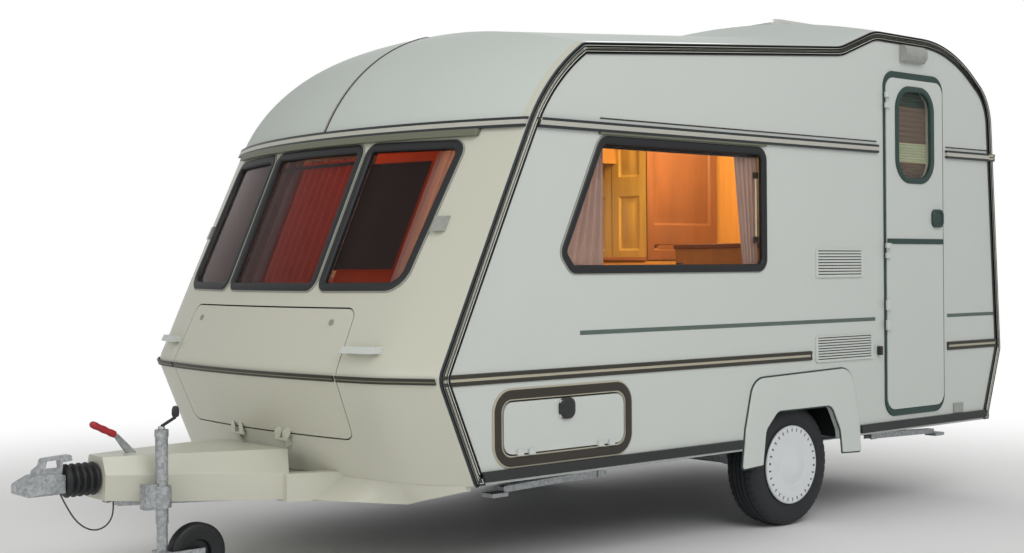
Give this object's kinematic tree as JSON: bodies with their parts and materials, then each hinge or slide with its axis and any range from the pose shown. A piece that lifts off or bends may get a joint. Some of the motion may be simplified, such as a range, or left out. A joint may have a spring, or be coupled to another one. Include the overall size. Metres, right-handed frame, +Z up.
{
  "type": "travel caravan",
  "caption": "Small two-berth touring caravan with a raked bow, a stable door, a stepped roof, a drawbar with an overrun coupling, a jockey wheel and corner steadies.",
  "frame": {"origin": "on the ground, on the centreline, midway between the coupling's tip and the stern; the axle is 0.764 m behind it", "axes": "+X forward towards the coupling, +Y to the nearside (door side), +Z up"},
  "size_m": [5.0302, 2.1839, 2.556],
  "materials": {
    "body_skin": "low-gloss stove enamel",
    "moulding": "gloss glass-fibre moulding",
    "bright_rail": "mill-finish extrusion with dark insert",
    "black_trim": "satin black",
    "seal_rubber": "matt",
    "front_glazing": "tinted acrylic",
    "side_glazing": "lightly tinted acrylic",
    "galvanised": "hot-dip galvanised",
    "tyre": "matt",
    "wheel_white": "satin white",
    "white_plastic": "semi-gloss",
    "wood": "satin veneer",
    "upholstery": "woven",
    "curtain": "woven",
    "rubber_black": "matt",
    "floor_board": "sealed board",
    "smoke_dome": "semi-gloss",
    "lens": "moulded lens",
    "door_seal": "low-gloss enamel",
    "cable": "matt"
  },
  "bodies": {
    "shell": {"awning_rails": "bright_rail", "axle_tube": "galvanised", "belt_rails": "black_trim", "breakaway_cable": "cable", "cabinets": "wood", "chassis_rails": "galvanised", "coupling_bellows": "rubber_black", "coupling_head": "galvanised", "curtains": "curtain", "door_surrounds": "bright_rail", "drawbar": "galvanised", "drawbar_fairing": "moulding", "drip_rails": "bright_rail", "floor": "floor_board", "front_panel": "moulding", "front_skirt": "moulding", "front_window_panes": "front_glazing", "gas_locker_box": "wood", "grab_handles": "white_plastic", "handbrake": "galvanised", "jockey_clamp": "black_trim", "jockey_tube": "galvanised", "left_side_wall": "body_skin", "marker_lamps": "lens", "rear_panel": "moulding", "right_side_wall": "body_skin", "roof_panel": "body_skin", "rooflight_frame": "white_plastic", "rubbing_strips": "black_trim", "seat_boxes": "wood", "seat_cushions": "upholstery", "side_vents": "white_plastic", "side_window_panes": "side_glazing", "steady_brackets": "galvanised", "swing_arms": "galvanised", "tail_lamps": "lens", "washroom_wall": "wood", "wheel_spats": "white_plastic", "window_frames": "seal_rubber", "window_hoods": "white_plastic"},
    "left_road_wheel": {"left_tyre": "tyre", "left_wheel": "wheel_white"},
    "right_road_wheel": {"right_tyre": "tyre", "right_wheel": "wheel_white"},
    "upper_leaf": {"upper_door": "door_seal", "upper_door_pane": "side_glazing", "upper_door_window_frame": "seal_rubber", "door_handle": "black_trim"},
    "lower_leaf": {"lower_door": "door_seal"},
    "gas_lid": {"gas_locker_lid": "moulding", "gas_locker_trim": "black_trim"},
    "locker_leaf": {"side_locker_door": "body_skin"},
    "roof_lid": {"rooflight_lid": "smoke_dome"},
    "steady_front_left": {"front_left_steady": "galvanised"},
    "steady_front_right": {"front_right_steady": "galvanised"},
    "steady_rear_left": {"rear_left_steady": "galvanised"},
    "steady_rear_right": {"rear_right_steady": "galvanised"},
    "jockey_inner": {"jockey_stem": "galvanised"},
    "jockey_yoke": {"jockey_fork": "galvanised"},
    "jockey_roller": {"jockey_wheel": "rubber_black"}
  },
  "joints": [
    {"name": "left_wheel_spin", "type": "hinge", "parent": "shell", "child": "left_road_wheel", "pos_m": [-0.76393, 0.93, 0.284], "axis": [0, 1, 0], "continuous": true},
    {"name": "right_wheel_spin", "type": "hinge", "parent": "shell", "child": "right_road_wheel", "pos_m": [-0.76393, -0.93, 0.284], "axis": [0, 1, 0], "continuous": true},
    {"name": "upper_door_swing", "type": "hinge", "parent": "shell", "child": "upper_leaf", "pos_m": [-1.43193, 1.086, 1.7], "axis": [0, 0, -1], "range_deg": [0, 165]},
    {"name": "lower_door_swing", "type": "hinge", "parent": "shell", "child": "lower_leaf", "pos_m": [-1.43193, 1.086, 0.9], "axis": [0, 0, -1], "range_deg": [0, 165]},
    {"name": "gas_lid_swing", "type": "hinge", "parent": "shell", "child": "gas_lid", "pos_m": [1.45807, 0, 0.515], "axis": [0, 1, 0], "range_deg": [0, 55]},
    {"name": "side_locker_swing", "type": "hinge", "parent": "shell", "child": "locker_leaf", "pos_m": [0.71207, 1.0735, 0.487], "axis": [-1, 0, 0], "range_deg": [0, 100]},
    {"name": "rooflight_swing", "type": "hinge", "parent": "shell", "child": "roof_lid", "pos_m": [-1.61593, 0, 2.514], "axis": [0, 1, 0], "range_deg": [0, 45]},
    {"name": "front_left_steady_swing", "type": "hinge", "parent": "shell", "child": "steady_front_left", "pos_m": [0.27607, 0.8, 0.33], "axis": [0, 1, 0], "range_deg": [0, 27]},
    {"name": "front_right_steady_swing", "type": "hinge", "parent": "shell", "child": "steady_front_right", "pos_m": [0.27607, -0.8, 0.33], "axis": [0, 1, 0], "range_deg": [0, 27]},
    {"name": "rear_left_steady_swing", "type": "hinge", "parent": "shell", "child": "steady_rear_left", "pos_m": [-1.67393, 0.8, 0.33], "axis": [0, -1, 0], "range_deg": [0, 27]},
    {"name": "rear_right_steady_swing", "type": "hinge", "parent": "shell", "child": "steady_rear_right", "pos_m": [-1.67393, -0.8, 0.33], "axis": [0, -1, 0], "range_deg": [0, 27]},
    {"name": "jockey_lift", "type": "slide", "parent": "shell", "child": "jockey_inner", "axis": [0, 0, 1], "range_m": [0, 0.06]},
    {"name": "jockey_swivel", "type": "hinge", "parent": "jockey_inner", "child": "jockey_yoke", "pos_m": [2.02407, 0.22, 0.12], "axis": [0, 0, 1], "continuous": true},
    {"name": "jockey_roll", "type": "hinge", "parent": "jockey_yoke", "child": "jockey_roller", "pos_m": [1.88107, 0.22, 0.116], "axis": [0, 1, 0], "continuous": true}
  ]
}
